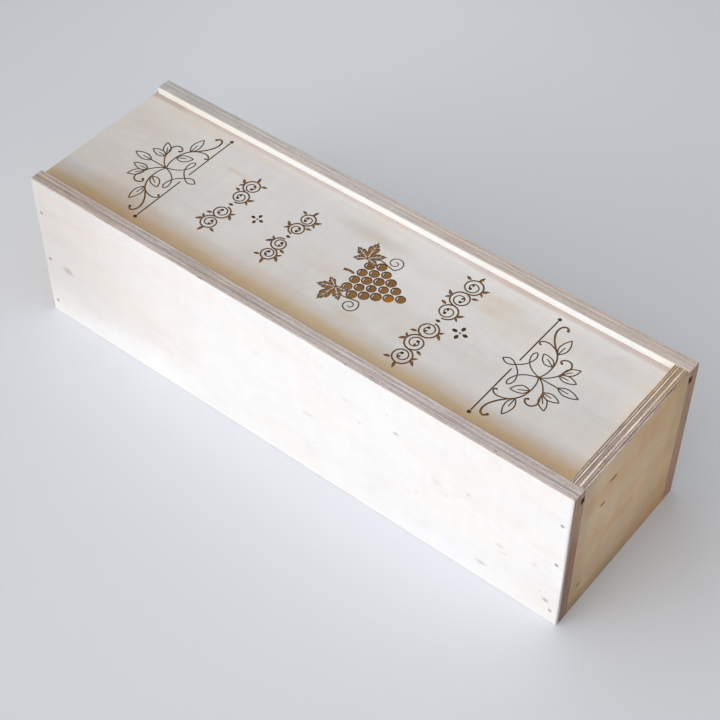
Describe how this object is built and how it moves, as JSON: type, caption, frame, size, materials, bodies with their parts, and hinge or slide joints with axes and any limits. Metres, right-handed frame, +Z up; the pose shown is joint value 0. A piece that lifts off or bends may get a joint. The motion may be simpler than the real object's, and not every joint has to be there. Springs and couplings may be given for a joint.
{
  "type": "bottle box with sliding lid",
  "caption": "Long plywood box for a wine bottle, with butted and nailed corners and an engraved lid that slides out in grooves over the lower end.",
  "frame": {"origin": "middle of the underside of the whole box with its lid closed, level with what it stands on", "axes": "+X along the box towards the closed stop end, away from the end where the lid slides out; +Y across the box towards the back side; +Z up"},
  "size_m": [0.362, 0.1116, 0.103],
  "materials": {
    "side_plywood": "bare sanded birch plywood, pale, grain along the box",
    "end_plywood": "bare sanded birch plywood, warmer, grain across the box",
    "base_plywood": "bare sanded birch plywood",
    "lid_plywood": "bare sanded birch plywood with burnt brown engraving",
    "brad_steel": "plain steel, dulled"
  },
  "bodies": {
    "box": {"front_side": "side_plywood", "back_side": "side_plywood", "stop_end_panel": "end_plywood", "open_end_panel": "end_plywood", "base_board": "base_plywood", "front_stop_end_brads": "brad_steel", "back_stop_end_brads": "brad_steel", "front_open_end_brads": "brad_steel", "back_open_end_brads": "brad_steel"},
    "lid": {"sliding_lid": "lid_plywood"}
  },
  "joints": [
    {"name": "lid_slide", "type": "slide", "parent": "box", "child": "lid", "axis": [-1, 0, 0], "range_m": [0, 0.3507]}
  ]
}
